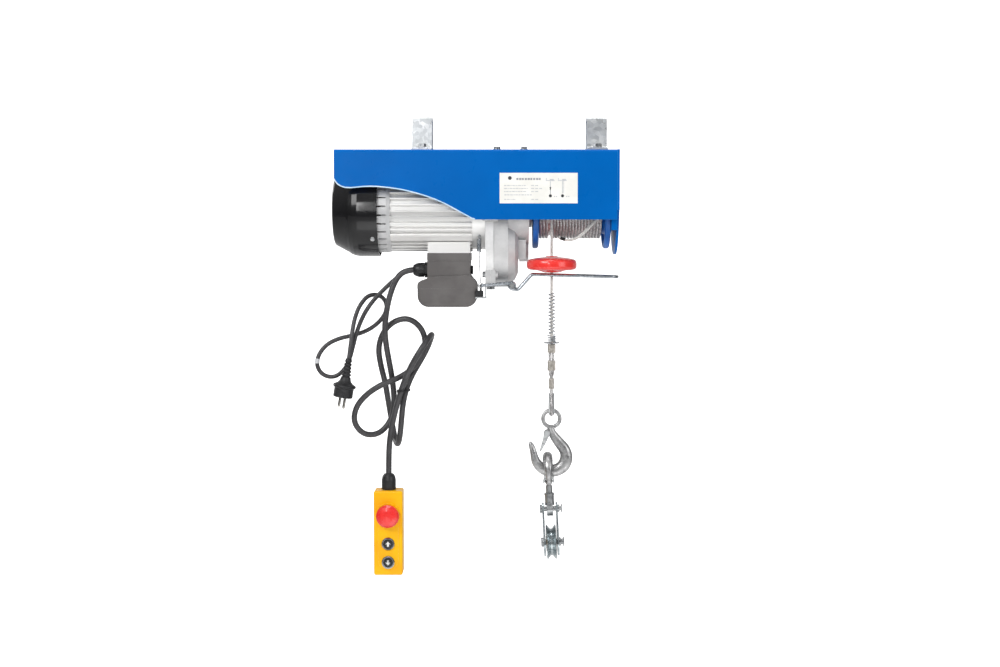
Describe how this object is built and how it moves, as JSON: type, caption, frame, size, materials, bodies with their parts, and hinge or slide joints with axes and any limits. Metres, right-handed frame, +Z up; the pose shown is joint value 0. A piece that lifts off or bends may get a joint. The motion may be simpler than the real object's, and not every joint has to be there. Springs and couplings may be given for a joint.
{
  "type": "electric wire rope hoist",
  "caption": "Electric wire rope hoist hung from a beam by two clamps, with a geared motor, rope drum, limit lever, hook with pulley block, push-button pendant and mains lead.",
  "frame": {"origin": "midway between the two beam clamps, on the plane under their straps that rests on the beam, above the common axis of motor and drum", "axes": "+Z up, out of the beam seat; +X along the motor and drum axis, from the fan towards the drum; -Y the side of the rope fall and data plate"},
  "size_m": [0.5321, 0.1721, 0.7904],
  "materials": {
    "blue_paint": "gloss powder coat",
    "zinc_plate": "bright zinc plate",
    "bolt_steel": "zinc plated",
    "motor_aluminium": "extruded, as drawn",
    "cast_aluminium": "die cast, blasted",
    "dark_steel": "plain",
    "copper_wire": "enamelled wire",
    "black_gloss": "gloss enamel",
    "machined_steel": "machined",
    "black_plastic": "moulded",
    "drum_paint": "semi gloss",
    "wire_rope": "galvanised strands",
    "box_plastic": "moulded, fine texture",
    "capacitor_can": "drawn can",
    "lever_zinc": "bright zinc plate",
    "red_plastic": "moulded",
    "ferrule_aluminium": "pressed",
    "forged_steel": "forged, galvanised",
    "yellow_plastic": "moulded",
    "bezel_chrome": "polished",
    "stop_red": "moulded",
    "cable_sheath": "smooth sheath",
    "plug_rubber": "moulded, nickel plated pins"
  },
  "bodies": {
    "root": {"frame_channel": "blue_paint", "end_plate": "blue_paint", "beam_clamps": "zinc_plate", "clamp_bolts": "bolt_steel", "motor_housing": "motor_aluminium", "stator_core": "dark_steel", "stator_windings": "copper_wire", "rear_end_bell": "cast_aluminium", "fan_cover": "black_gloss", "brake_coil": "copper_wire", "ball_bearings": "machined_steel", "front_flange": "cast_aluminium", "gearbox_casing": "cast_aluminium", "drive_screws": "bolt_steel", "pedestal": "motor_aluminium", "terminal_box": "box_plastic", "box_cover": "box_plastic", "run_capacitor": "capacitor_can", "cable_glands": "black_plastic", "lever_bracket": "zinc_plate", "lever_pivot_pin": "bolt_steel", "limit_switch": "black_plastic", "pendant_front": "yellow_plastic", "pendant_back": "yellow_plastic", "pendant_gland": "black_plastic", "button_bezels": "bezel_chrome", "pendant_cable": "cable_sheath", "mains_lead": "cable_sheath", "mains_plug": "plug_rubber"},
    "rotor": {"rotor_shaft": "machined_steel", "rotor_core": "dark_steel", "cooling_fan": "black_plastic", "brake_disc": "dark_steel"},
    "countershaft": {"countershaft": "machined_steel", "countershaft_gear": "machined_steel"},
    "drum": {"drum_shaft": "machined_steel", "output_gear": "machined_steel", "rope_drum": "drum_paint", "rope_windings": "wire_rope", "rope_tail": "wire_rope"},
    "hook_line": {"rope_fall": "wire_rope", "buffer_spring": "machined_steel", "rope_ferrules": "ferrule_aluminium", "rope_eye": "wire_rope", "thimble": "zinc_plate"},
    "limit_lever": {"limit_lever": "lever_zinc", "lever_spring": "machined_steel"},
    "switch_plunger": {"switch_plunger": "black_plastic"},
    "limit_disc": {"limit_disc": "red_plastic"},
    "main_hook": {"main_hook": "forged_steel"},
    "hook_latch": {"hook_latch": "zinc_plate"},
    "block_hook": {"block_hook": "forged_steel"},
    "block_latch": {"block_latch": "zinc_plate"},
    "swivel": {"swivel_yoke": "bolt_steel"},
    "block": {"block_cheeks": "zinc_plate", "block_bolts": "bolt_steel"},
    "sheave": {"sheave": "zinc_plate"},
    "e_stop": {"e_stop_button": "stop_red"},
    "up_button": {"up_button": "black_plastic"},
    "down_button": {"down_button": "black_plastic"}
  },
  "joints": [
    {"name": "drum_spin", "type": "hinge", "parent": "root", "child": "drum", "pos_m": [0, 0, -0.1547], "axis": [1, 0, 0], "range_deg": [-42.8, 1259.2]},
    {"name": "rotor_spin", "type": "hinge", "parent": "root", "child": "rotor", "pos_m": [0, 0, -0.1547], "axis": [1, 0, 0], "range_deg": [-1755, 51540]},
    {"name": "countershaft_spin", "type": "hinge", "parent": "root", "child": "countershaft", "pos_m": [0, 0, -0.21845], "axis": [1, 0, 0], "range_deg": [-7665, 262]},
    {"name": "hook_lift", "type": "slide", "parent": "root", "child": "hook_line", "axis": [0, 0, 1], "range_m": [-1.0001, 0.0341], "deforming": ["rope_fall"]},
    {"name": "lever_tilt", "type": "hinge", "parent": "root", "child": "limit_lever", "pos_m": [0.0042, -0.0455, -0.283], "axis": [0, -1, 0], "range_deg": [0, 4], "stiffness_Nm_per_rad": 0.6, "springref_deg": -20.05},
    {"name": "switch_press", "type": "slide", "parent": "root", "child": "switch_plunger", "axis": [0, 0, -1], "range_m": [0, 0.004]},
    {"name": "disc_lift", "type": "slide", "parent": "root", "child": "limit_disc", "axis": [0, 0, 1], "range_m": [0, 0.006]},
    {"name": "hook_swing", "type": "hinge", "parent": "hook_line", "child": "main_hook", "pos_m": [0.072, -0.0455, -0.5035], "axis": [0, 1, 0], "range_deg": [-12, 12]},
    {"name": "hook_latch_open", "type": "hinge", "parent": "main_hook", "child": "hook_latch", "pos_m": [0.0645, -0.0455, -0.536], "axis": [0, -1, 0], "range_deg": [0, 15], "stiffness_Nm_per_rad": 0.03, "springref_deg": -45.84},
    {"name": "block_swing", "type": "hinge", "parent": "main_hook", "child": "block_hook", "pos_m": [0.0662, -0.0455, -0.6018], "axis": [1, 0, 0], "range_deg": [-10, 10]},
    {"name": "block_latch_open", "type": "hinge", "parent": "block_hook", "child": "block_latch", "pos_m": [0.06755, -0.044, -0.62012], "axis": [-0.999, 0, -0.0454], "range_deg": [0, 12], "stiffness_Nm_per_rad": 0.02, "springref_deg": -45.84},
    {"name": "block_swivel", "type": "hinge", "parent": "block_hook", "child": "swivel", "pos_m": [0.0662, -0.0455, -0.59035], "axis": [-0.0454, 0, 0.999], "continuous": true},
    {"name": "cheek_tilt", "type": "hinge", "parent": "swivel", "child": "block", "pos_m": [0.06969, -0.0455, -0.66732], "axis": [0.999, 0, 0.0454], "range_deg": [-40, 40]},
    {"name": "sheave_spin", "type": "hinge", "parent": "block", "child": "sheave", "pos_m": [0.07233, -0.0455, -0.72526], "axis": [0.999, 0, 0.0454], "continuous": true},
    {"name": "e_stop_press", "type": "slide", "parent": "root", "child": "e_stop", "axis": [0, 1, 0], "range_m": [0, 0.0032]},
    {"name": "up_press", "type": "slide", "parent": "root", "child": "up_button", "axis": [0, 1, 0], "range_m": [0, 0.0025], "stiffness_N_per_m": 400, "springref_m": -0.002},
    {"name": "down_press", "type": "slide", "parent": "root", "child": "down_button", "axis": [0, 1, 0], "range_m": [0, 0.0025], "stiffness_N_per_m": 400, "springref_m": -0.002}
  ],
  "couplings": [
    {"joint": "rotor_spin", "follows": "drum_spin", "ratio": 40.924},
    {"joint": "countershaft_spin", "follows": "drum_spin", "ratio": -6.0833},
    {"joint": "hook_lift", "follows": "drum_spin", "m_per_rad": -0.0455},
    {"joint": "switch_press", "follows": "lever_tilt", "m_per_rad": 0.0535},
    {"joint": "disc_lift", "follows": "lever_tilt", "m_per_rad": 0.08}
  ]
}
